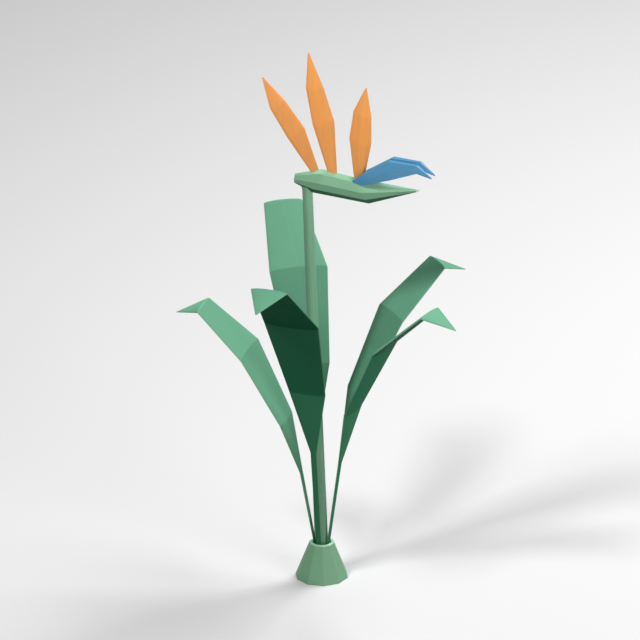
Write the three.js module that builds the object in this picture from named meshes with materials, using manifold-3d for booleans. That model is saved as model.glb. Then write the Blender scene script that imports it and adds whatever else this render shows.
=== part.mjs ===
// Bird of paradise flower: one stem in a small conical foot, with a beak shaped
// spathe, three upright sepals, a forked blue petal and five folded leaves.
// Millimetres, +Z up. The origin is the middle of the foot's underside and the
// beak points along +X.

import * as THREE from 'three';
import { mergeVertices } from 'three/addons/utils/BufferGeometryUtils.js';
import Module from 'manifold-3d';

const wasm = await Module();
wasm.setup();

// Clearance between pieces that meet, and the wider one round seated pieces
const GAP = 0.3;
const SEAT_GAP = 0.4;

// Corners of a solid that are closer than this are one corner
const MERGE_DISTANCE = 1e-4;

// Foot: ten sided cone with a blind hole
const FOOT_SIDES = 10;
const FOOT_BASE_R = 32.3;
const FOOT_RIM_R = 14.8;
const FOOT_HEIGHT = 45;
const HOLE_R = 11.3;
const HOLE_DEPTH = 30;

// Stem: eight sided, slim in the hole, leaning back to meet the spathe behind its
// keel, and thinned at the back where it goes up into the spathe
const STEM_SIDES = 8;
const STEM_HOLE_R = 7.6;
const STEM_RISE = 1;
const STEM_LOW_R = 8.4;
const STEM_NECK_R = 6.5;
const STEM_SHOULDER = { x: -0.9, z: 57 };
const STEM_NECK = { x: -18.7, y: 4.4, z: 500 };
const STEM_TOP = { x: -19.1, y: 1.2, z: 510 };
const STEM_TOP_DEPTH = 4;

// Leaf: distance out from its foot, height over the rim, half width, half depth
// and the direction of its upper face, in degrees from straight out
const LEAF_SIDES = 12;
const LEAF_FOOT_R = 9.3;
const STALK = { out: 15.7, up: 112.5, width: 3.8, depth: 1.3, face: 172 };
const STALK_FOOT = { width: 3.2, depth: 1.05 };
const CREASE_LOW = { out: 34, up: 189.5, width: 22.3, depth: 2.8, face: 160 };
const CREASE_MID = { out: 81, up: 285.5, width: 33.5, depth: 4.2, face: 90 };
const CREASE_TOP = { out: 144, up: 344, width: 22.2, depth: 3.2, face: 90 };
const LEAF_TIP = { out: 182, up: 328.7, width: 0.8, depth: 0.5, face: 68 };

// The five leaves: turn about the stem, scale of stalk and blade, lean outwards
// and sideways, in degrees
const LEAVES = [
  { name: 'leaf_left', turn: 173.5, stalk: 0.8, blade: 0.905, lean: 1.2, sway: 4 },
  { name: 'leaf_back', turn: 119.5, stalk: 1.115, blade: 1.08, lean: 3.8, sway: -0.7 },
  { name: 'leaf_right_back', turn: 39.6, stalk: 0.99, blade: 0.97, lean: 1.7, sway: 1.9 },
  { name: 'leaf_right_front', turn: -15.9, stalk: 0.936, blade: 0.957, lean: -0.4, sway: 1.5 },
  { name: 'leaf_front', turn: 261.2, stalk: 1.078, blade: 1.075, lean: -4.5, sway: -1.8 },
];

// Spathe rings, from the blunt end to the tip of the beak: middle, half height,
// half width and the ring's tilt towards the tip. Its two lower corners sit at a
// share of the half height, over a sharp keel.
const SPATHE_SIDES = 8;
const SPATHE_LOW_CORNERS = [5, 7];
const SPATHE_LOW_SHARE = 0.56;
const SPATHE_STEM_GAP = 0.55;
const SPATHE_RINGS = [
  { x: -33.3, z: 518.2, height: 6.2, width: 4.5, tilt: 3 },
  { x: -5.3, z: 517.9, height: 17.5, width: 7.2, tilt: 22 },
  { x: 50.3, z: 510.8, height: 18.2, width: 7.2, tilt: -26 },
  { x: 121.5, z: 518.4, height: 0.8, width: 0.7, tilt: -10 },
];

// Sepals: place along the beak, turn of the blade, and rings from the socket to
// the tip: run along the blade's plane, height and half width
const SEPAL_SIDES = 8;
const SEPAL_DEPTH = 0.34;
const SEPAL_LEAST_DEPTH = 0.6;
const SEPALS = [
  {
    name: 'sepal_left',
    x: -9,
    turn: 27,
    rings: [
      { run: 4, z: 523, width: 3.9 },
      { run: -23, z: 583, width: 12.2 },
      { run: -46, z: 623, width: 10.3 },
      { run: -64, z: 659.5, width: 0.8 },
    ],
  },
  {
    name: 'sepal_middle',
    x: 13,
    turn: 0,
    rings: [
      { run: 2, z: 521, width: 4.6 },
      { run: -11, z: 595, width: 14.2 },
      { run: -22, z: 640.5, width: 11.1 },
      { run: -29.5, z: 684.4, width: 0.8 },
    ],
  },
  {
    name: 'sepal_right',
    x: 47,
    turn: -16,
    rings: [
      { run: -1.4, z: 516, width: 5.4 },
      { run: 0.8, z: 576, width: 15.6 },
      { run: 3.8, z: 612, width: 12.8 },
      { run: 9, z: 647.3, width: 0.8 },
    ],
  },
];

// Blue petal: a wedge that grows out of the spathe and forks into two prongs. Its
// place along the beak and turn, then each ring's distance out, side, height, half
// height and half width. The share of the half width is flat on top.
const PETAL_X = 40;
const PETAL_TURN = -9;
const BODY_FLAT = 0.9;
const PETAL_BODY = [
  { out: 0, z: 523.3, height: 1.6, width: 5.3 },
  { out: 14.5, z: 529.4, height: 7.7, width: 7 },
  { out: 48.2, z: 547, height: 12.2, width: 10.1 },
];
const PRONG_FLAT = 0.8;
const PRONG = [
  { out: 44.2, side: 5.2, z: 544.8, height: 10.5, width: 3.9 },
  { out: 48.2, side: 5.65, z: 547, height: 12.4, width: 4.3 },
  { out: 84.6, side: 5.75, z: 554.5, height: 5, width: 2.7 },
  { out: 103.1, side: 5.2, z: 545.4, height: 0.7, width: 0.7 },
];

const rad = THREE.MathUtils.degToRad;
const vec = (x, y, z) => new THREE.Vector3(x, y, z);

const finish = (color, roughness) => new THREE.MeshStandardMaterial({
  color,
  roughness,
  metalness: 0,
});
const LEAF_GREEN = finish(0x78b494, 0.6);
const STEM_GREEN = finish(0x7fae8c, 0.6);
const FOOT_GREEN = finish(0x86b899, 0.65);
const SPATHE_GREEN = finish(0x87b994, 0.55);
const SEPAL_ORANGE = finish(0xe9a05c, 0.55);
const PETAL_BLUE = finish(0x5b92bd, 0.5);

// Corners of a round or many sided outline, for a half width and depth of one
function roundOutline(sides) {
  const corners = [];
  for (let i = 0; i < sides; i++) {
    const angle = (2 * Math.PI * i) / sides;
    corners.push([Math.cos(angle), Math.sin(angle)]);
  }
  return corners;
}

// Six corners with a flat top and bottom
function wedgeOutline(flat) {
  return [[1, 0], [flat, 1], [-flat, 1], [-1, 0], [-flat, -1], [flat, -1]];
}

// Corners of a spathe ring
function spatheOutline() {
  const corners = roundOutline(SPATHE_SIDES);
  for (const i of SPATHE_LOW_CORNERS) {
    corners[i][1] = -SPATHE_LOW_SHARE;
  }
  return corners;
}

// Closed solid through rings of corners. Each ring has its middle, the directions
// of its width and depth, and the half sizes along them.
function loft(rings, outline) {
  const count = outline.length;
  const positions = [];
  for (const ring of rings) {
    for (const [a, b] of outline) {
      const corner = ring.at.clone()
        .addScaledVector(ring.side, a * ring.width)
        .addScaledVector(ring.face, b * ring.depth);
      positions.push(corner.x, corner.y, corner.z);
    }
  }
  const faces = [];
  for (let level = 0; level < rings.length - 1; level++) {
    for (let i = 0; i < count; i++) {
      const a = level * count + i;
      const b = level * count + (i + 1) % count;
      faces.push(a, b, b + count, a, b + count, a + count);
    }
  }
  const last = (rings.length - 1) * count;
  for (let i = 1; i < count - 1; i++) {
    faces.push(0, i + 1, i);
    faces.push(last, last + i, last + i + 1);
  }
  const geometry = new THREE.BufferGeometry();
  geometry.setAttribute('position', new THREE.Float32BufferAttribute(positions, 3));
  geometry.setIndex(faces);
  return geometry;
}

function toSolid(geometry) {
  const plain = geometry.clone();
  plain.deleteAttribute('normal');
  plain.deleteAttribute('uv');
  const merged = mergeVertices(plain, MERGE_DISTANCE);
  return new wasm.Manifold(new wasm.Mesh({
    numProp: 3,
    vertProperties: Float32Array.from(merged.attributes.position.array),
    triVerts: Uint32Array.from(merged.index.array),
  }));
}

function toGeometry(solid) {
  const { vertProperties, triVerts } = solid.getMesh();
  const geometry = new THREE.BufferGeometry();
  geometry.setAttribute('position', new THREE.BufferAttribute(vertProperties, 3));
  geometry.setIndex(new THREE.BufferAttribute(triVerts, 1));
  return geometry;
}

// Foot
function makeFoot() {
  const floor = FOOT_HEIGHT - HOLE_DEPTH;
  const profile = [
    new THREE.Vector2(0, 0),
    new THREE.Vector2(FOOT_BASE_R, 0),
    new THREE.Vector2(FOOT_RIM_R, FOOT_HEIGHT),
    new THREE.Vector2(HOLE_R, FOOT_HEIGHT),
    new THREE.Vector2(HOLE_R, floor),
    new THREE.Vector2(0, floor),
  ];
  const geometry = new THREE.LatheGeometry(profile, FOOT_SIDES, Math.PI / 2);
  geometry.rotateX(Math.PI / 2);
  return geometry;
}

// Stem, before its top is cut to the underside of the spathe
function makeStem() {
  const ring = ({ x = 0, y = 0, z }, width, depth = width) => ({
    at: vec(x, y, z),
    side: vec(1, 0, 0),
    face: vec(0, 1, 0),
    width,
    depth,
  });
  return loft([
    ring({ z: FOOT_HEIGHT - HOLE_DEPTH + GAP }, STEM_HOLE_R),
    ring({ z: FOOT_HEIGHT + STEM_RISE }, STEM_HOLE_R),
    ring(STEM_SHOULDER, STEM_LOW_R),
    ring(STEM_NECK, STEM_NECK_R),
    ring(STEM_TOP, STEM_NECK_R, STEM_TOP_DEPTH),
  ], roundOutline(STEM_SIDES));
}

// Leaf, standing in the hole and growing out along +X
function makeLeaf({ stalk, blade, lean, sway }) {
  const tilt = rad(lean);
  const slant = rad(sway);
  const place = (out, across, up) => {
    const x = out * Math.cos(tilt) + up * Math.sin(tilt);
    const rise = up * Math.cos(tilt) - out * Math.sin(tilt);
    return vec(
      x + LEAF_FOOT_R,
      across * Math.cos(slant) + rise * Math.sin(slant),
      rise * Math.cos(slant) - across * Math.sin(slant) + FOOT_HEIGHT,
    );
  };
  const side = place(0, 1, 0).sub(place(0, 0, 0));
  const ring = (size, scale) => {
    const grow = size === STALK ? 0 : blade;
    const out = STALK.out * stalk + (size.out - STALK.out) * grow;
    const up = STALK.up * stalk + (size.up - STALK.up) * grow;
    return {
      at: place(out, 0, up),
      side,
      face: vec(Math.cos(rad(size.face)), 0, Math.sin(rad(size.face))),
      width: size.width * scale,
      depth: size.depth,
    };
  };
  const foot = (z) => ({
    at: vec(LEAF_FOOT_R, 0, z),
    side: vec(0, 1, 0),
    face: vec(-1, 0, 0),
    width: STALK_FOOT.width,
    depth: STALK_FOOT.depth,
  });
  return loft([
    foot(FOOT_HEIGHT - HOLE_DEPTH + GAP),
    foot(FOOT_HEIGHT),
    ring(STALK, 1),
    ring(CREASE_LOW, blade),
    ring(CREASE_MID, blade),
    ring(CREASE_TOP, blade),
    ring(LEAF_TIP, 1),
  ], roundOutline(LEAF_SIDES));
}

// Spathe, or the same shape grown on all sides by a clearance
function makeSpathe(grow) {
  const rings = SPATHE_RINGS.map(({ x, z, height, width, tilt }) => ({
    at: vec(x, 0, z),
    side: vec(0, 1, 0),
    face: vec(Math.sin(rad(tilt)), 0, Math.cos(rad(tilt))),
    width: width + grow,
    depth: height + grow,
  }));
  rings[0].at.x -= grow;
  rings[rings.length - 1].at.x += grow;
  return loft(rings, spatheOutline());
}

// Sepal, or the same shape grown on all sides by a clearance
function makeSepal({ x, turn, rings }, grow) {
  const across = vec(Math.cos(rad(turn)), Math.sin(rad(turn)), 0);
  const face = vec(Math.sin(rad(turn)), -Math.cos(rad(turn)), 0);
  const middles = rings.map(({ run, z }) => vec(x, 0, z).addScaledVector(across, run));
  const shapes = rings.map(({ width }, i) => {
    const before = middles[Math.max(i - 1, 0)];
    const after = middles[Math.min(i + 1, rings.length - 1)];
    const along = after.clone().sub(before).normalize();
    const edge = along.clone().multiplyScalar(i === 0 ? -grow : 0);
    return {
      at: middles[i].clone().add(edge),
      side: face.clone().cross(along),
      face,
      width: width + grow,
      depth: Math.max(width * SEPAL_DEPTH, SEPAL_LEAST_DEPTH) + grow,
    };
  });
  return loft(shapes, roundOutline(SEPAL_SIDES));
}

// Blue petal, before it is fitted round the right sepal, or the same shape grown on
// all sides by a clearance
function makePetal(grow) {
  const turn = rad(PETAL_TURN);
  const outwards = vec(Math.cos(turn), Math.sin(turn), 0);
  const sideways = vec(-Math.sin(turn), Math.cos(turn), 0);
  const wedge = (rings, flat, mirror) => {
    const shapes = rings.map(({ out, side = 0, z, height, width }, i) => ({
      at: vec(PETAL_X, 0, z)
        .addScaledVector(outwards, i === 0 ? out - grow : out)
        .addScaledVector(sideways, side * mirror),
      side: sideways,
      face: vec(0, 0, 1),
      width: width + grow,
      depth: height + grow,
    }));
    return toSolid(loft(shapes, wedgeOutline(flat)));
  };
  return wedge(PETAL_BODY, BODY_FLAT, 1)
    .add(wedge(PRONG, PRONG_FLAT, 1))
    .add(wedge(PRONG, PRONG_FLAT, -1));
}

// Pieces that are seated in others
const spatheRoom = toSolid(makeSpathe(SPATHE_STEM_GAP));
const sepalRooms = SEPALS.map((sepal) => toSolid(makeSepal(sepal, SEAT_GAP)));
const petalRoom = makePetal(SEAT_GAP);

const stem = toSolid(makeStem()).subtract(spatheRoom);
const petal = makePetal(0).subtract(sepalRooms[2]);
let spathe = toSolid(makeSpathe(0)).subtract(petalRoom);
for (const room of sepalRooms) {
  spathe = spathe.subtract(room);
}

// The whole flower
const group = new THREE.Group();

function addMesh(name, geometry, material) {
  const mesh = new THREE.Mesh(geometry, material);
  mesh.name = name;
  group.add(mesh);
  return mesh;
}

addMesh('foot', makeFoot(), FOOT_GREEN);
addMesh('stem', toGeometry(stem), STEM_GREEN);
for (const leaf of LEAVES) {
  const mesh = addMesh(leaf.name, makeLeaf(leaf), LEAF_GREEN);
  mesh.rotation.z = rad(leaf.turn);
}
addMesh('spathe', toGeometry(spathe), SPATHE_GREEN);
for (const sepal of SEPALS) {
  addMesh(sepal.name, makeSepal(sepal, 0), SEPAL_ORANGE);
}
addMesh('blue_petal', toGeometry(petal), PETAL_BLUE);

export default group;
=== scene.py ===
"""Bird of paradise flower standing in its conical foot: leaves, stem, spathe, sepals and
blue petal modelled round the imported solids, with their finishes, studio light and camera."""

from collections import namedtuple
from math import cos, pi, radians, sin

import bmesh
import bpy
from mathutils import Matrix, Vector


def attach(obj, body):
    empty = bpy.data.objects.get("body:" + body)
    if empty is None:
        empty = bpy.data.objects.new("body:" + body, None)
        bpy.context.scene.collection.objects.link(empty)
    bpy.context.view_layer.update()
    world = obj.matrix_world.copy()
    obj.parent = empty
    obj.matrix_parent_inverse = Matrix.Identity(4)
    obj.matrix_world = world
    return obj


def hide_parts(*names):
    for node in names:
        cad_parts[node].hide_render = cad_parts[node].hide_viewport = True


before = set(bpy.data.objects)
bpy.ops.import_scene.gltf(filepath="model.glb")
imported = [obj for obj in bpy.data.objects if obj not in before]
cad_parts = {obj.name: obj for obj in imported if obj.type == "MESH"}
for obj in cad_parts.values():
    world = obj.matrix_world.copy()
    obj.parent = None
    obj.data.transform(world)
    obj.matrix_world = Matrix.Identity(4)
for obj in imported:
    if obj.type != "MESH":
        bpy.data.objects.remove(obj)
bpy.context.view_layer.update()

MM = 0.001
X_AXIS = Vector((1, 0, 0))
Y_AXIS = Vector((0, 1, 0))
Z_AXIS = Vector((0, 0, 1))

# A ring of a lofted form: middle, directions of its width and depth, half sizes
Ring = namedtuple("Ring", "at side face width depth")

# Foot, in mm as in the solids: height and radius of each ring
FOOT_SIDES = 10
FOOT_RINGS = ((0, 32.3), (45, 14.8), (45, 11.3), (15, 11.3))

# Stem: middle, half width and half depth of each ring
STEM_SIDES = 8
STEM_RINGS = (
    (0, 0, 15.3, 7.6, 7.6),
    (0, 0, 46, 7.6, 7.6),
    (-0.9, 0, 57, 8.4, 8.4),
    (-18.7, 4.4, 500, 6.5, 6.5),
    (-19.1, 1.2, 510, 6.5, 4),
)

# Leaves: distance out from the leaf's foot, height over the rim, half width, half depth
# and the angle of the blade's face
LEAF_SIDES = 64
LEAF_FOOT_R = 9.3
FOOT_HEIGHT = 45
STALK_FOOT = (15.3, 45)
STALK_WIDTH, STALK_DEPTH = 3.2, 1.05
LEAF_STATIONS = (
    (15.7, 112.5, 3.8, 1.3, 172),
    (34, 189.5, 22.3, 2.8, 160),
    (81, 285.5, 33.5, 4.2, 90),
    (144, 344, 22.2, 3.2, 90),
    (182, 328.7, 0.8, 0.5, 68),
)
# Turn about the stem, scale of stalk and blade, lean outwards and sideways, and the painted
# light and shade of the leaf's face and its underside, for the light on each leaf
LEAVES = {
    "leaf_left": (173.5, 0.8, 0.905, 1.2, 4, 1.11, 1.1),
    "leaf_back": (119.5, 1.115, 1.08, 3.8, -0.7, 1.03, 1),
    "leaf_right_back": (39.6, 0.99, 0.97, 1.7, 1.9, 1.06, 1.1),
    "leaf_right_front": (-15.9, 0.936, 0.957, -0.4, 1.5, 1.02, 1.3),
    "leaf_front": (261.2, 1.078, 1.075, -4.5, -1.8, 1, 1),
}

# Spathe: place along the beak, height, half height, half width and tilt of each ring. Its
# lower corners, by their measure upper, sit at a share of the half height, over a keel.
SPATHE_SIDES = 8
SPATHE_LOW_CORNERS = (-0.9, -0.1)
SPATHE_LOW_SHARE = 0.56
SPATHE_RINGS = (
    (-33.3, 518.2, 6.2, 4.5, 3),
    (-5.3, 517.9, 17.5, 7.2, 22),
    (50.3, 510.8, 18.2, 7.2, -26),
    (121.5, 518.4, 0.8, 0.7, -10),
)

# Sepals: place along the beak, turn, and rings of run, height and half width
SEPAL_SIDES = 8
SEPAL_DEPTH = 0.34
SEPAL_LEAST_DEPTH = 0.6
SEPALS = {
    "sepal_left": (-9, 27, (
        (4, 523, 3.9), (-23, 583, 12.2), (-46, 623, 10.3), (-64, 659.5, 0.8),
    )),
    "sepal_middle": (13, 0, (
        (2, 521, 4.6), (-11, 595, 14.2), (-22, 640.5, 11.1), (-29.5, 684.4, 0.8),
    )),
    "sepal_right": (47, -16, (
        (-1.4, 516, 5.4), (0.8, 576, 15.6), (3.8, 612, 12.8), (9, 647.3, 0.8),
    )),
}

# Blue petal: its place along the beak and turn, then distance out, side, height, half
# height and half width of each ring, and the share of the half width that is flat on top
PETAL_X = 40
PETAL_TURN = -9
PETAL_SIDES = 6
PETAL_BODY = ((0, 0, 523.3, 1.6, 5.3), (14.5, 0, 529.4, 7.7, 7), (48.2, 0, 547, 12.2, 10.1))
BODY_FLAT = 0.9
PRONG = (
    (44.2, 5.2, 544.8, 10.5, 3.9),
    (48.2, 5.65, 547, 12.4, 4.3),
    (84.6, 5.75, 554.5, 5, 2.7),
    (103.1, 5.2, 545.4, 0.7, 0.7),
)
PRONG_FLAT = 0.8

# Corners of the petal's rings that are above or below its sides, by their measure upper
PETAL_FLAT_UPPER = 0.1

# The petal's joined skin: points this near in mm become one, and so do facets within this
# many degrees
PETAL_WELD = 0.02
PETAL_SAME_FACET = 0.5

# A flat top's normal: its least part upwards and its most part sideways
TOP_LEAST_RISE = 0.3
TOP_MOST_SLANT = 0.3

# How far creases and corners are rounded, in mm, and the lengthwise edges of a faceted
# piece, in percent of its facets' width
FOOT_ROUNDING = 0.5
STEM_ROUNDING, STEM_EDGE_PERCENT = 0.6, 9
LEAF_ROUNDING = 0.9
SPATHE_ROUNDING, SPATHE_EDGE_PERCENT = 0.7, 6
SEPAL_ROUNDING, SEPAL_EDGE_PERCENT = 0.8, 14
PETAL_ROUNDING = 0.3
CREASE_STEPS = 3
EDGE_STEPS = 2

# The least turn, in degrees, of a crease between rings and of a corner that is rounded
LEAST_CREASE_ANGLE = 1
LEAST_CORNER_ANGLE = 6

# Points this near along a loft, in metres, are on one ring
SAME_RING = 1e-6

# Weight of broad facets over narrow ones in the shading
FACET_WEIGHT = 80


def colour(red, green, blue):
    """A screen colour, 0 to 255, as a linear colour for a shader."""
    linear = []
    for value in (red, green, blue):
        share = value / 255
        if share <= 0.04045:
            linear.append(share / 12.92)
        else:
            linear.append(((share + 0.055) / 1.055) ** 2.4)
    return (*linear, 1)


# Stem: painted light on the side towards the beak, painted shade on the other side
STEM_PAINTED_SHADE = colour(94, 132, 107)
STEM_PAINTED_LIGHT = colour(118, 166, 134)
# Painted shade near the stem's foot, among the stalks
STEM_LOW_PAINTED_SHADE = colour(99, 141, 113)
# Petal: painted shade at its foot, and painted shade that tones down the light on its flat tops
PETAL_FOOT_PAINTED_SHADE = colour(70, 127, 163)
PETAL_SIDE = colour(79, 138, 175)
PETAL_TOP_PAINTED_SHADE = colour(71, 125, 160)
FOOT_SIDE = colour(105, 149, 117)
# Painted light on the foot's upward rim
FOOT_RIM_PAINTED_LIGHT = colour(148, 197, 162)
SEPAL_FOOT = colour(224, 149, 77)
SEPAL_BLADE = colour(227, 151, 78)
# Painted light on the sepal's upper facet
SEPAL_TIP_PAINTED_LIGHT = colour(232, 155, 82)
LEAF_INNER = colour(88, 138, 112)
LEAF_TIP = colour(96, 151, 123)
# Leaf and stalk undersides: painted shade, deepest on the upper blade
LEAF_UNDER_PAINTED_SHADE = colour(27, 81, 56)
LEAF_UNDER_TOP_PAINTED_SHADE = colour(4, 60, 36)
# Margin: partly a real pale edge, partly a painted highlight on the rounded rim
LEAF_PALE_MARGIN_AND_HIGHLIGHT = colour(118, 166, 138)
# Painted light on the stalks near the foot, over the shade among them
STALK_LOW_PAINTED_LIGHT = colour(92, 147, 117)
STALK_INNER = colour(74, 120, 95)
STALK_UNDER_PAINTED_SHADE = colour(42, 95, 68)
# Spathe: one green with painted light on top and painted shade on its lower flanks and keel, and
# darker at the butt
SPATHE_TOP_PAINTED_LIGHT = colour(132, 180, 147)
SPATHE_FLANK = colour(127, 174, 141)
SPATHE_BUTT = colour(119, 164, 132)
SPATHE_LOW_PAINTED_SHADE = colour(107, 152, 121)
SPATHE_KEEL_PAINTED_SHADE = colour(30, 84, 48)
# Painted light on the beak, its top, its point and its tip, where the petal's shadow falls
SPATHE_BEAK_PAINTED_LIGHT = colour(147, 196, 161)
SPATHE_BEAK_TOP_PAINTED_LIGHT = colour(160, 216, 176)
SPATHE_POINT_PAINTED_LIGHT = colour(170, 228, 185)
SPATHE_POINT_TOP_PAINTED_LIGHT = colour(192, 246, 206)
SPATHE_TIP_PAINTED_LIGHT = colour(228, 244, 224)
FLOOR_GREY = (0.6, 0.6, 0.6, 1)

# Finishes: the material's name, roughness and shine, the stretch of its lengthwise grain,
# the strength of its patches and streaks, how much the roughness varies, and its relief
Look = namedtuple("Look", "name roughness shine grain patches streaks variation relief")
STEM_LOOK = Look("Stem green", 0.55, 0.35, (420, 420, 14), 0.12, 0.22, 0.05, 0.25)
LEAF_LOOK = Look("Leaf green", 0.62, 0.03, (260, 260, 22), 0.14, 0.07, 0.06, 0.3)
SPATHE_LOOK = Look("Spathe green", 0.5, 0.3, (16, 260, 260), 0.12, 0.14, 0.05, 0.25)
FOOT_LOOK = Look("Foot green", 0.6, 0.35, (70, 70, 70), 0.12, 0.08, 0.05, 0.35)
SEPAL_LOOK = Look("Sepal orange", 0.5, 0.3, (260, 260, 18), 0.1, 0.16, 0.05, 0.25)
PETAL_LOOK = Look("Petal blue", 0.45, 0.3, (18, 260, 260), 0.12, 0.16, 0.05, 0.25)

# Measures that a loft writes on its points. Across and upper run from -1 to 1 round a
# ring, along is in metres from the first ring, and station is the number of the ring.
MEASURES = ("across", "upper", "along", "station")

# The edge of its first ring from which a loft goes round. It is fixed, because it settles
# how the flat ends are shaded once their corners are rounded.
FIRST_EDGE = 2

# Where one colour turns into the next: the start and the end of the change, in the measure
# that its name ends with, and in metres of height for the petal's foot
STEM_ACROSS = (-0.9, 0.9)
STEM_LOW_ALONG = (0.05, 0.3)
STALK_LOW_STATION = (1.2, 2.0)
STALK_STATION = (2.2, 3.1)
TIP_STATION = (4.97, 5.0)
STALK_UNDER_STATION = (2.97, 3.0)
UNDER_TOP_STATION = (3.97, 4.0)
LEAF_EDGE_UPPER = (-0.12, 0.05)
KEEL_UPPER = (-0.76, -0.71)
RIDGE_UPPER = (-0.04, 0.04)
TOP_UPPER = (0.68, 0.74)
BUTT_ALONG = (0.027, 0.036)
BEAK_ALONG = (0.075, 0.1)
BEAK_UPPER = (-0.06, 0.02)
BEAK_TOP_ALONG = (0.09, 0.1)
POINT_ALONG = (0.105, 0.136)
BEAK_TIP_ALONG = (0.1505, 0.152)
RIM_STATION = (0.972, 0.985)
SEPAL_FOOT_STATION = (0.9, 1.05)
SEPAL_TIP_STATION = (1.9, 2.05)
PETAL_FOOT_Z = (0.522, 0.545)

# How strongly the painted light on the beak and on its top covers what is under it
BEAK_PAINTED_LIGHT_SHARE = 0.6
BEAK_TOP_PAINTED_LIGHT_SHARE = 0.7

# Plant tissue: the noises of its patches, its streaks and its pebbled skin, and the mean
# of a noise
PATCH_NOISE = {"Scale": 22, "Detail": 4, "Roughness": 0.5}
STREAK_NOISE = {"Scale": 1, "Detail": 5, "Roughness": 0.6}
SKIN_NOISE = {"Scale": 1400, "Detail": 2}
NOISE_MEAN = 0.5

# Its relief: the shares of the streaks and the skin in it, and its depth in metres
STREAK_RELIEF = 0.75
SKIN_RELIEF = 0.25
RELIEF_DEPTH = 0.0004

# The part of the patches' noise over which the roughness varies
MOTTLE = (0.3, 0.7)

# Leaf veins: their wave in radians a metre along the leaf and over its half width, the
# part of the wave that shows, where the midrib ends and the margin starts, and how much
# each of them shows
VEIN_RATE = 1900
VEIN_SLANT = 62
VEIN_CREST = (0.35, 1.0)
MIDRIB_ACROSS = (0.0, 0.045)
MARGIN_ACROSS = (0.955, 0.992)
BETWEEN_VEINS = 0.98
VEIN_TONE, MIDRIB_TONE = 0.05, 0.05
VEIN_RELIEF, MIDRIB_RELIEF = 0.5, 0.8
MARGIN_SHARE = 0.3

# Lights: name, azimuth, elevation, distance and width in metres, and power in watts
LIGHTS = (
    ("key", 235, 54, 2.4, 0.5, 43.7),
    ("back", 60, 50, 2.6, 1.5, 89),
    ("fill", -35, 15, 2.6, 1.6, 33),
)
LIGHT_AIM = Vector((0, 0, 0.33))

# Strength of the surround as a light and as the camera sees it
UNSEEN_GLOW = 0.03
BACKDROP_GLOW = 0.7

# Floor: half its width in metres, and its finish
FLOOR_HALF = 6
FLOOR_ROUGHNESS, FLOOR_SHINE = 0.9, 0.1

# Camera: its turn and lift in degrees, then in metres the width it sees, how far off it
# stands, how far it sees, and the middle of its picture
VIEW_TURN = 14
VIEW_LIFT = 24
VIEW_WIDTH = 0.768
VIEW_DISTANCE = 3
VIEW_REACH = 20
CENTRE_ACROSS = -0.0021
CENTRE_UP = 0.3065


# Shader nodes

def add(tree, kind, inputs=None, **settings):
    """A node with its settings, and its inputs given as values or as sockets to join."""
    made = tree.nodes.new(kind)
    for key, value in settings.items():
        setattr(made, key, value)
    for name, value in (inputs or {}).items():
        socket = made.inputs[name]
        if isinstance(value, bpy.types.NodeSocket):
            tree.links.new(value, socket)
        else:
            socket.default_value = value
    return made


def calc(tree, operation, first, second=0.0):
    """A math node's result."""
    return add(tree, "ShaderNodeMath", {0: first, 1: second}, operation=operation).outputs[0]


def spread(tree, value, low, high, to_low=0.0, to_high=1.0):
    """The value taken smoothly from one range to another."""
    made = add(tree, "ShaderNodeMapRange", {
        "Value": value,
        "From Min": low,
        "From Max": high,
        "To Min": to_low,
        "To Max": to_high,
    }, interpolation_type="SMOOTHSTEP")
    return made.outputs[0]


def blend(tree, factor, first, second):
    """Two colours mixed by a factor."""
    return add(tree, "ShaderNodeMix", {0: factor, 6: first, 7: second}, data_type="RGBA").outputs[2]


def change(tree, value, place, before, after):
    """The colour before a place on the piece and the one after it, with the change between."""
    return blend(tree, spread(tree, value, *place), before, after)


def both(tree, first, first_place, second, second_place):
    """How far a point is past two places at once, 0 to 1."""
    return calc(tree, "MULTIPLY", spread(tree, first, *first_place),
                spread(tree, second, *second_place))


def measure(tree, name):
    """A measure written on the piece's points, such as across or along."""
    return add(tree, "ShaderNodeAttribute", attribute_name=name).outputs["Fac"]


def object_place(tree):
    """The place on the piece, in metres."""
    return add(tree, "ShaderNodeTexCoord").outputs["Object"]


def noise(tree, place, values):
    """A noise at a place, 0 to 1."""
    return add(tree, "ShaderNodeTexNoise", {"Vector": place, **values}).outputs[0]


def new_group(name, inputs, outputs):
    """An empty shader group with its sockets, and its own input and output nodes."""
    tree = bpy.data.node_groups.new(name, "ShaderNodeTree")
    for label, kind in inputs:
        tree.interface.new_socket(label, in_out="INPUT", socket_type=kind)
    for label, kind in outputs:
        tree.interface.new_socket(label, in_out="OUTPUT", socket_type=kind)
    return tree, tree.nodes.new("NodeGroupInput"), tree.nodes.new("NodeGroupOutput")


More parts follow.
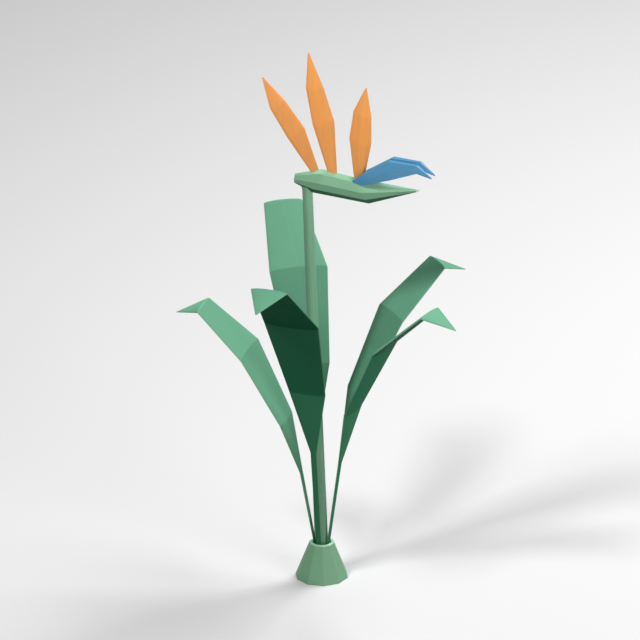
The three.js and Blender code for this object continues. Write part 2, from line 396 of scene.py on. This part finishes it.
def build_tissue():
    """Plant tissue: broad soft patches, fine lengthwise streaks and a pebbled skin."""
    tree, given, result = new_group("Tissue", (
        ("Colour", "NodeSocketColor"),
        ("Place", "NodeSocketVector"),
        ("Grain Place", "NodeSocketVector"),
        ("Patches", "NodeSocketFloat"),
        ("Streaks", "NodeSocketFloat"),
    ), (
        ("Colour", "NodeSocketColor"),
        ("Height", "NodeSocketFloat"),
        ("Mottle", "NodeSocketFloat"),
    ))
    patches = noise(tree, given.outputs["Place"], PATCH_NOISE)
    streaks = noise(tree, given.outputs["Grain Place"], STREAK_NOISE)
    skin = noise(tree, given.outputs["Place"], SKIN_NOISE)
    patch, streak = (
        calc(tree, "MULTIPLY", calc(tree, "SUBTRACT", uneven, NOISE_MEAN), given.outputs[strength])
        for uneven, strength in ((patches, "Patches"), (streaks, "Streaks"))
    )
    tone = calc(tree, "ADD", calc(tree, "ADD", patch, streak), 1.0)
    tinted = add(tree, "ShaderNodeVectorMath", {0: given.outputs["Colour"], "Scale": tone},
                 operation="SCALE")
    height = calc(tree, "ADD", calc(tree, "MULTIPLY", streaks, STREAK_RELIEF),
                  calc(tree, "MULTIPLY", skin, SKIN_RELIEF))
    tree.links.new(tinted.outputs[0], result.inputs["Colour"])
    tree.links.new(height, result.inputs["Height"])
    tree.links.new(patches, result.inputs["Mottle"])
    return tree


def build_veins():
    """Leaf veins: a midrib, and fine side veins that slant from it to the margins."""
    tree, given, result = new_group("Leaf veins", (
        ("Across", "NodeSocketFloat"),
        ("Along", "NodeSocketFloat"),
    ), (
        ("Midrib", "NodeSocketFloat"),
        ("Veins", "NodeSocketFloat"),
        ("Margin", "NodeSocketFloat"),
    ))
    out = calc(tree, "ABSOLUTE", given.outputs["Across"])
    slant = calc(tree, "SUBTRACT", calc(tree, "MULTIPLY", given.outputs["Along"], VEIN_RATE),
                 calc(tree, "MULTIPLY", out, VEIN_SLANT))
    veins = spread(tree, calc(tree, "SINE", slant), *VEIN_CREST)
    midrib = spread(tree, out, *MIDRIB_ACROSS, 1.0, 0.0)
    margin = spread(tree, out, *MARGIN_ACROSS)
    tree.links.new(midrib, result.inputs["Midrib"])
    tree.links.new(veins, result.inputs["Veins"])
    tree.links.new(margin, result.inputs["Margin"])
    return tree


TISSUE = build_tissue()
VEINS = build_veins()


# Finishes

def new_material(name, roughness, shine):
    """A material, its tree and its Principled shader with the plain values set on it."""
    material = bpy.data.materials.new(name)
    material.use_nodes = True
    tree = material.node_tree
    shader = tree.nodes["Principled BSDF"]
    shader.inputs["Roughness"].default_value = roughness
    shader.inputs["Specular IOR Level"].default_value = shine
    return material, tree, shader


def plant_material(look):
    """The new material of a finish, its tree and its shader."""
    return new_material(look.name, look.roughness, look.shine)


def dress(tree, shader, look, base, ribs=None):
    """Joins the base colour to the shader through the finish's plant tissue, with its uneven
    gloss and its relief. Ribs add to the relief's height."""
    place = object_place(tree)
    grain = add(tree, "ShaderNodeMapping", {"Vector": place, "Scale": look.grain})
    tissue = add(tree, "ShaderNodeGroup", {
        "Colour": base,
        "Place": place,
        "Grain Place": grain.outputs[0],
        "Patches": look.patches,
        "Streaks": look.streaks,
    }, node_tree=TISSUE)
    roughness = spread(tree, tissue.outputs["Mottle"], *MOTTLE,
                       look.roughness - look.variation, look.roughness + look.variation)
    height = tissue.outputs["Height"]
    if ribs is not None:
        height = calc(tree, "ADD", height, ribs)
    relief = add(tree, "ShaderNodeBump", {
        "Height": height,
        "Strength": look.relief,
        "Distance": RELIEF_DEPTH,
    })
    tree.links.new(tissue.outputs["Colour"], shader.inputs["Base Color"])
    tree.links.new(roughness, shader.inputs["Roughness"])
    tree.links.new(relief.outputs[0], shader.inputs["Normal"])


def stem_finish():
    """Stem: painted light on the side towards the beak and painted shade on the other, painted
    shade near its foot, streaked.
    """
    material, tree, shader = plant_material(STEM_LOOK)
    # Painted light on the side towards the beak, painted shade on the other
    base = change(tree, measure(tree, "across"), STEM_ACROSS, STEM_PAINTED_SHADE, STEM_PAINTED_LIGHT)
    # Painted shade near the foot, among the stalks
    base = change(tree, measure(tree, "along"), STEM_LOW_ALONG, STEM_LOW_PAINTED_SHADE, base)
    dress(tree, shader, STEM_LOOK, base)
    return material


def leaf_finish():
    """Leaf: light inside and painted shade underneath, with faint veins, margins that are partly
    pale and partly a painted highlight, and painted light on the stalk near its foot."""
    material, tree, shader = plant_material(LEAF_LOOK)
    station = measure(tree, "station")
    # Painted light on the stalk near the foot, over its shade there
    inner = change(tree, station, STALK_LOW_STATION, STALK_LOW_PAINTED_LIGHT, STALK_INNER)
    inner = change(tree, station, STALK_STATION, inner, LEAF_INNER)
    inner = change(tree, station, TIP_STATION, inner, LEAF_TIP)
    # Painted shade on the underside, deepest on the upper blade
    under_painted_shade = change(tree, station, STALK_UNDER_STATION, STALK_UNDER_PAINTED_SHADE, LEAF_UNDER_PAINTED_SHADE)
    under_painted_shade = change(tree, station, UNDER_TOP_STATION, under_painted_shade, LEAF_UNDER_TOP_PAINTED_SHADE)
    sides = change(tree, measure(tree, "upper"), LEAF_EDGE_UPPER, under_painted_shade, inner)
    veins = add(tree, "ShaderNodeGroup", {
        "Across": measure(tree, "across"),
        "Along": measure(tree, "along"),
    }, node_tree=VEINS)
    paler = calc(tree, "ADD", calc(tree, "MULTIPLY", veins.outputs["Veins"], VEIN_TONE),
                 calc(tree, "MULTIPLY", veins.outputs["Midrib"], MIDRIB_TONE))
    # The tone measure carries each leaf's painted light and shade
    tone = calc(tree, "MULTIPLY", calc(tree, "ADD", paler, BETWEEN_VEINS), measure(tree, "tone"))
    veined = add(tree, "ShaderNodeVectorMath", {0: sides, "Scale": tone}, operation="SCALE")
    # The margin: partly a real pale edge, partly a painted highlight on the rounded rim
    margin = calc(tree, "MULTIPLY", veins.outputs["Margin"], MARGIN_SHARE)
    base = blend(tree, margin, veined.outputs[0], LEAF_PALE_MARGIN_AND_HIGHLIGHT)
    ribs = calc(tree, "SUBTRACT", calc(tree, "MULTIPLY", veins.outputs["Veins"], VEIN_RELIEF),
                calc(tree, "MULTIPLY", veins.outputs["Midrib"], MIDRIB_RELIEF))
    dress(tree, shader, LEAF_LOOK, base, ribs)
    return material


def spathe_finish():
    """Spathe: painted light on top, painted shade on its lower flanks and deepest along the keel,
    and painted light on the beak and its point, where the petal's shadow falls."""
    material, tree, shader = plant_material(SPATHE_LOOK)
    upper = measure(tree, "upper")
    along = measure(tree, "along")
    # Painted shade on the lower flanks and the keel, painted light on top
    low = change(tree, upper, KEEL_UPPER, SPATHE_KEEL_PAINTED_SHADE, SPATHE_LOW_PAINTED_SHADE)
    flank = change(tree, along, BUTT_ALONG, SPATHE_BUTT, SPATHE_FLANK)
    base = change(tree, upper, RIDGE_UPPER, low, flank)
    base = change(tree, upper, TOP_UPPER, base, SPATHE_TOP_PAINTED_LIGHT)
    # Painted light on the beak, its top and its point, where the petal's shadow falls
    beak_painted_light = both(tree, along, BEAK_ALONG, upper, BEAK_UPPER)
    base = blend(tree, calc(tree, "MULTIPLY", beak_painted_light, BEAK_PAINTED_LIGHT_SHARE), base, SPATHE_BEAK_PAINTED_LIGHT)
    beak_top_painted_light = both(tree, along, BEAK_TOP_ALONG, upper, TOP_UPPER)
    base = blend(tree, calc(tree, "MULTIPLY", beak_top_painted_light, BEAK_TOP_PAINTED_LIGHT_SHARE), base, SPATHE_BEAK_TOP_PAINTED_LIGHT)
    point_painted_light = change(tree, upper, TOP_UPPER, SPATHE_POINT_PAINTED_LIGHT, SPATHE_POINT_TOP_PAINTED_LIGHT)
    base = blend(tree, both(tree, along, POINT_ALONG, upper, RIDGE_UPPER), base, point_painted_light)
    # Painted light on the very tip
    base = change(tree, along, BEAK_TIP_ALONG, base, SPATHE_TIP_PAINTED_LIGHT)
    dress(tree, shader, SPATHE_LOOK, base)
    return material


def foot_finish():
    """Foot: one green, with painted light on the flat rim round its hole."""
    material, tree, shader = plant_material(FOOT_LOOK)
    # Painted light on the rim
    base = change(tree, measure(tree, "station"), RIM_STATION, FOOT_SIDE, FOOT_RIM_PAINTED_LIGHT)
    dress(tree, shader, FOOT_LOOK, base)
    return material


def sepal_finish():
    """Sepal: orange, a little deeper at its foot, with painted light towards its tip."""
    material, tree, shader = plant_material(SEPAL_LOOK)
    station = measure(tree, "station")
    base = change(tree, station, SEPAL_FOOT_STATION, SEPAL_FOOT, SEPAL_BLADE)
    # Painted light towards the tip
    base = change(tree, station, SEPAL_TIP_STATION, base, SEPAL_TIP_PAINTED_LIGHT)
    dress(tree, shader, SEPAL_LOOK, base)
    return material


def petal_finish():
    """Petal: blue, with painted shade at its foot and along the flat tops of its body and prongs.
    """
    material, tree, shader = plant_material(PETAL_LOOK)
    height = add(tree, "ShaderNodeSeparateXYZ", {"Vector": object_place(tree)}).outputs["Z"]
    # Painted shade at the foot
    base = change(tree, height, PETAL_FOOT_Z, PETAL_FOOT_PAINTED_SHADE, PETAL_SIDE)
    # Painted shade on the flat tops
    base = blend(tree, measure(tree, "top"), base, PETAL_TOP_PAINTED_SHADE)
    dress(tree, shader, PETAL_LOOK, base)
    return material


leaf_green = leaf_finish()
stem_green = stem_finish()
foot_green = foot_finish()
spathe_green = spathe_finish()
sepal_orange = sepal_finish()
petal_blue = petal_finish()


# Modelling

def level_ring(x, y, z, width, depth):
    """A ring that lies level."""
    return Ring(Vector((x, y, z)), X_AXIS, Y_AXIS, width, depth)


def ring_frame(ring):
    """The matrix that takes a unit circle, which starts on +Y, to the ring, in metres."""
    columns = (-ring.face * ring.depth, ring.side * ring.width, ring.side.cross(ring.face))
    matrix = Matrix(columns).transposed().to_4x4()
    matrix.translation = ring.at
    return Matrix.Scale(MM, 4) @ matrix


def loft(bm, rings, sides):
    """A closed tube through the rings in an empty bmesh, with the measures on it. Gives
    back the corners of each ring."""
    across, upper, along, station = (bm.verts.layers.float.new(name) for name in MEASURES)
    frames = [ring_frame(ring) for ring in rings]
    verts = bmesh.ops.create_circle(bm, segments=sides, radius=1, matrix=frames[0])["verts"]
    for index, vert in enumerate(verts):
        vert[across] = cos(2 * pi * index / sides)
        vert[upper] = sin(2 * pi * index / sides)
        vert[along] = 0
        vert[station] = 0
    edges = list(bm.edges)
    edges = edges[FIRST_EDGE:] + edges[:FIRST_EDGE]
    ends = [edges]
    levels = [verts]
    run = 0
    for before, after, old, new in zip(rings, rings[1:], frames, frames[1:]):
        made = bmesh.ops.extrude_edge_only(bm, edges=edges)["geom"]
        verts = [item for item in made if isinstance(item, bmesh.types.BMVert)]
        ring_verts = set(verts)
        edges = [item for item in made
                 if isinstance(item, bmesh.types.BMEdge) and ring_verts.issuperset(item.verts)]
        bmesh.ops.transform(bm, matrix=new @ old.inverted(), verts=verts)
        run += (after.at - before.at).length * MM
        for vert in verts:
            vert[along] = run
            vert[station] = len(levels)
        levels.append(verts)
    ends.append(edges)
    for end in ends:
        bmesh.ops.edgeloop_fill(bm, edges=end)
    bmesh.ops.recalc_face_normals(bm, faces=bm.faces)
    return levels


def round_edges(bm, edges, offset, steps, offset_type="OFFSET", clamp_overlap=False):
    """Rounds the edges over by an offset in metres or in percent."""
    bmesh.ops.bevel(bm, geom=edges, offset=offset, offset_type=offset_type, affect="EDGES",
                    segments=steps, profile=0.5, material=-1, clamp_overlap=clamp_overlap)


def corners(bm):
    """The edges at which a form turns."""
    return [edge for edge in bm.edges if edge.calc_face_angle(0) > radians(LEAST_CORNER_ANGLE)]


def is_ring_edge(edge, along):
    """Whether the edge runs round the loft and not along it."""
    return abs(edge.verts[0][along] - edge.verts[1][along]) < SAME_RING


def soften_creases(bm, offset):
    """Rounds the creases between a loft's rings, all but its two ends."""
    along = bm.verts.layers.float["along"]
    last = max(vert[along] for vert in bm.verts)
    creases = [edge for edge in bm.edges
               if is_ring_edge(edge, along) and 0 < edge.verts[0][along] < last
               and edge.calc_face_angle(0) > radians(LEAST_CREASE_ANGLE)]
    round_edges(bm, creases, offset * MM, CREASE_STEPS)


def soften_lengthwise(bm, percent):
    """Rounds the lengthwise edges of a faceted loft."""
    along = bm.verts.layers.float["along"]
    edges = [edge for edge in bm.edges if not is_ring_edge(edge, along)]
    round_edges(bm, edges, percent, EDGE_STEPS, offset_type="PERCENT")


def turn_round(bm, angle):
    """Turns the form about the upright line through the origin."""
    matrix = Matrix.Rotation(radians(angle), 3, "Z")
    bmesh.ops.rotate(bm, verts=bm.verts, cent=(0, 0, 0), matrix=matrix)


def as_object(name, bm):
    """An object in the scene that takes over the bmesh."""
    mesh = bpy.data.meshes.new(name)
    bm.to_mesh(mesh)
    bm.free()
    made = bpy.data.objects.new(name, mesh)
    bpy.context.scene.collection.objects.link(made)
    return made


def new_piece(name, bm, material, node):
    """The finished piece, riding on the one body, with its solid hidden."""
    bmesh.ops.recalc_face_normals(bm, faces=bm.faces)
    piece = as_object(name, bm)
    piece.data.shade_smooth()
    piece.data.materials.append(material)
    even = piece.modifiers.new("Even facets", "WEIGHTED_NORMAL")
    even.mode = "FACE_AREA"
    even.weight = FACET_WEIGHT
    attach(piece, "root")
    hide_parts(node)


# Foot and stem

def model_foot():
    """The ten sided cone, with its plain hole."""
    bm = bmesh.new()
    loft(bm, [level_ring(0, 0, z, radius, radius) for z, radius in FOOT_RINGS], FOOT_SIDES)
    round_edges(bm, corners(bm), FOOT_ROUNDING * MM, CREASE_STEPS)
    new_piece("foot_cone", bm, foot_green, "foot")


def model_stem():
    """The eight sided stem, which goes up into the spathe."""
    bm = bmesh.new()
    loft(bm, [level_ring(*values) for values in STEM_RINGS], STEM_SIDES)
    soften_lengthwise(bm, STEM_EDGE_PERCENT)
    soften_creases(bm, STEM_ROUNDING)
    new_piece("stem_stalk", bm, stem_green, "stem")


# Leaves

def lean_leaf(lean, sway):
    """Where a point of the leaf is, out, across and up from its foot, before it is turned."""
    tilt = radians(lean)
    slant = radians(sway)

    def place(out, across, up):
        rise = up * cos(tilt) - out * sin(tilt)
        return Vector((
            out * cos(tilt) + up * sin(tilt) + LEAF_FOOT_R,
            across * cos(slant) + rise * sin(slant),
            rise * cos(slant) - across * sin(slant) + FOOT_HEIGHT,
        ))
    return place


def leaf_rings(stalk, blade, lean, sway):
    """The leaf's rings, from its end in the foot to its folded tip."""
    place = lean_leaf(lean, sway)
    side = place(0, 1, 0) - place(0, 0, 0)
    first_out, first_up = LEAF_STATIONS[0][:2]
    rings = [Ring(Vector((LEAF_FOOT_R, 0, z)), Y_AXIS, -X_AXIS, STALK_WIDTH, STALK_DEPTH)
             for z in STALK_FOOT]
    last = len(LEAF_STATIONS) - 1
    for index, (out, up, width, depth, angle) in enumerate(LEAF_STATIONS):
        grow = 0 if index == 0 else blade
        at = place(
            first_out * stalk + (out - first_out) * grow,
            0,
            first_up * stalk + (up - first_up) * grow,
        )
        face = Vector((cos(radians(angle)), 0, sin(radians(angle))))
        scale = blade if 0 < index < last else 1
        rings.append(Ring(at, side, face, width * scale, depth))
    return rings


def model_leaf(name, turn, stalk, blade, lean, sway, painted_face_light, painted_under_light):
    """One leaf with its stalk, creased in three places and folded over at its tip."""
    bm = bmesh.new()
    loft(bm, leaf_rings(stalk, blade, lean, sway), LEAF_SIDES)
    soften_creases(bm, LEAF_ROUNDING)
    upper = bm.verts.layers.float["upper"]
    # Each leaf's painted light and shade, for its face and its underside
    tone = bm.verts.layers.float.new("tone")
    for vert in bm.verts:
        vert[tone] = painted_face_light if vert[upper] > 0 else painted_under_light
    turn_round(bm, turn)
    new_piece(f"{name}_blade", bm, leaf_green, name)


# Flower head

def model_spathe():
    """The beak, with its two lower corners lifted to leave a sharp keel."""
    bm = bmesh.new()
    rings = []
    for x, z, height, width, tilt in SPATHE_RINGS:
        face = Vector((sin(radians(tilt)), 0, cos(radians(tilt))))
        rings.append(Ring(Vector((x, 0, z)), Y_AXIS, face, width, height))
    levels = loft(bm, rings, SPATHE_SIDES)
    upper = bm.verts.layers.float["upper"]
    lowest, highest = SPATHE_LOW_CORNERS
    lift = sin(pi / 4) - SPATHE_LOW_SHARE
    for ring, level in zip(rings, levels):
        low = [vert for vert in level if lowest < vert[upper] < highest]
        bmesh.ops.translate(bm, vec=ring.face * ring.depth * lift * MM, verts=low)
    bmesh.ops.recalc_face_normals(bm, faces=bm.faces)
    soften_lengthwise(bm, SPATHE_EDGE_PERCENT)
    soften_creases(bm, SPATHE_ROUNDING)
    new_piece("spathe_beak", bm, spathe_green, "spathe")


def model_sepal(name, x, turn, stations):
    """One upright sepal, widest low down and pointed."""
    across = Vector((cos(radians(turn)), sin(radians(turn)), 0))
    face = Vector((sin(radians(turn)), -cos(radians(turn)), 0))
    middles = [Vector((x, 0, z)) + across * run for run, z, _ in stations]
    rings = []
    for index, (_, _, width) in enumerate(stations):
        before = middles[max(index - 1, 0)]
        after = middles[min(index + 1, len(stations) - 1)]
        along = (after - before).normalized()
        depth = max(width * SEPAL_DEPTH, SEPAL_LEAST_DEPTH)
        rings.append(Ring(middles[index], face.cross(along), face, width, depth))
    bm = bmesh.new()
    loft(bm, rings, SEPAL_SIDES)
    soften_lengthwise(bm, SEPAL_EDGE_PERCENT)
    soften_creases(bm, SEPAL_ROUNDING)
    new_piece(f"{name}_blade", bm, sepal_orange, name)


def petal_part(name, stations, flat, mirror):
    """A loft of hexagons that are flat on top and below."""
    bm = bmesh.new()
    rings = [Ring(Vector((x, y * mirror, z)), Y_AXIS, Z_AXIS, width, height)
             for x, y, z, height, width in stations]
    levels = loft(bm, rings, PETAL_SIDES)
    upper = bm.verts.layers.float["upper"]
    for ring, level in zip(rings, levels):
        bmesh.ops.scale(
            bm,
            vec=(1, flat / cos(pi / 3), 1 / sin(pi / 3)),
            space=Matrix.Translation(-ring.at * MM),
            verts=[vert for vert in level if abs(vert[upper]) > PETAL_FLAT_UPPER],
        )
    bmesh.ops.recalc_face_normals(bm, faces=bm.faces)
    return as_object(name, bm)


def join_parts(body, prongs):
    """The union of the petal's body and prongs as one bmesh, with its parts removed."""
    for prong in prongs:
        union = body.modifiers.new(prong.name, "BOOLEAN")
        union.operation = "UNION"
        union.solver = "EXACT"
        union.object = prong
    bpy.context.view_layer.update()
    joined = body.evaluated_get(bpy.context.evaluated_depsgraph_get()).to_mesh()
    bm = bmesh.new()
    bm.from_mesh(joined)
    for part in (body, *prongs):
        bpy.data.objects.remove(part)
    bmesh.ops.remove_doubles(bm, verts=bm.verts, dist=PETAL_WELD * MM)
    bmesh.ops.dissolve_limit(bm, angle_limit=radians(PETAL_SAME_FACET),
                             verts=bm.verts, edges=bm.edges)
    return bm


def mark_tops(bm):
    """Writes the measure top on the flat tops of the petal, 1 there and 0 elsewhere."""
    bm.normal_update()
    top = bm.verts.layers.float.new("top")
    for face in bm.faces:
        if face.normal.z > TOP_LEAST_RISE and abs(face.normal.y) < TOP_MOST_SLANT:
            for vert in face.verts:
                vert[top] = 1


def model_petal():
    """The blue petal: one body that forks into two prongs."""
    body = petal_part("body", PETAL_BODY, BODY_FLAT, 1)
    prongs = [petal_part("prong_left", PRONG, PRONG_FLAT, 1),
              petal_part("prong_right", PRONG, PRONG_FLAT, -1)]
    bm = join_parts(body, prongs)
    round_edges(bm, corners(bm), PETAL_ROUNDING * MM, EDGE_STEPS, clamp_overlap=True)
    mark_tops(bm)
    turn_round(bm, PETAL_TURN)
    bmesh.ops.translate(bm, verts=bm.verts, vec=(PETAL_X * MM, 0, 0))
    new_piece("blue_petal_fork", bm, petal_blue, "blue_petal")


model_foot()
model_stem()
for leaf_name, leaf_values in LEAVES.items():
    model_leaf(leaf_name, *leaf_values)
model_spathe()
for sepal_name, sepal_values in SEPALS.items():
    model_sepal(sepal_name, *sepal_values)
model_petal()


# Studio

def direction(azimuth, elevation):
    """The way to a point at an azimuth and elevation, in degrees."""
    return Vector((
        cos(radians(azimuth)) * cos(radians(elevation)),
        sin(radians(azimuth)) * cos(radians(elevation)),
        sin(radians(elevation)),
    ))


def make_floor():
    """The plain pale floor."""
    bm = bmesh.new()
    bmesh.ops.create_grid(bm, x_segments=2, y_segments=2, size=FLOOR_HALF)
    floor = as_object("studio_floor", bm)
    material, _, shader = new_material("Studio floor", FLOOR_ROUGHNESS, FLOOR_SHINE)
    shader.inputs["Base Color"].default_value = FLOOR_GREY
    floor.data.materials.append(material)


def add_light(name, azimuth, elevation, distance, width, power):
    """A round soft light, aimed at the middle of the plant."""
    light = bpy.data.lights.new(name, "AREA")
    light.shape = "DISK"
    light.size = width
    light.energy = power
    lamp = bpy.data.objects.new(name, light)
    towards = direction(azimuth, elevation)
    lamp.location = LIGHT_AIM + towards * distance
    lamp.rotation_euler = towards.to_track_quat("Z", "Y").to_euler()
    bpy.context.scene.collection.objects.link(lamp)


def make_world():
    """A white surround, bright to the camera and faint as a light."""
    world = bpy.data.worlds.new("Studio")
    world.use_nodes = True
    tree = world.node_tree
    backdrop = tree.nodes["Background"]
    backdrop.inputs["Color"].default_value = (1, 1, 1, 1)
    glow = add(tree, "ShaderNodeMapRange", {
        "Value": add(tree, "ShaderNodeLightPath").outputs["Is Camera Ray"],
        "To Min": UNSEEN_GLOW,
        "To Max": BACKDROP_GLOW,
    })
    tree.links.new(glow.outputs[0], backdrop.inputs["Strength"])
    bpy.context.scene.world = world
    bpy.context.scene.view_settings.view_transform = "Standard"


def make_camera():
    """The camera, at the photograph's turn and lift, with no perspective."""
    turn = radians(VIEW_TURN)
    lift = radians(VIEW_LIFT)
    across = Vector((cos(turn), sin(turn), 0))
    away = Vector((-sin(turn), cos(turn), 0))
    up = away * sin(lift) + Z_AXIS * cos(lift)
    back = Z_AXIS * sin(lift) - away * cos(lift)
    lens = bpy.data.cameras.new("camera")
    lens.type = "ORTHO"
    lens.ortho_scale = VIEW_WIDTH
    lens.clip_end = VIEW_REACH
    camera = bpy.data.objects.new("camera", lens)
    at = across * CENTRE_ACROSS + up * CENTRE_UP + back * VIEW_DISTANCE
    camera.matrix_world = (Matrix.Translation(at)
                           @ Matrix((across, up, back)).transposed().to_4x4())
    bpy.context.scene.collection.objects.link(camera)
    bpy.context.scene.camera = camera


make_floor()
for light_values in LIGHTS:
    add_light(*light_values)
make_world()
make_camera()
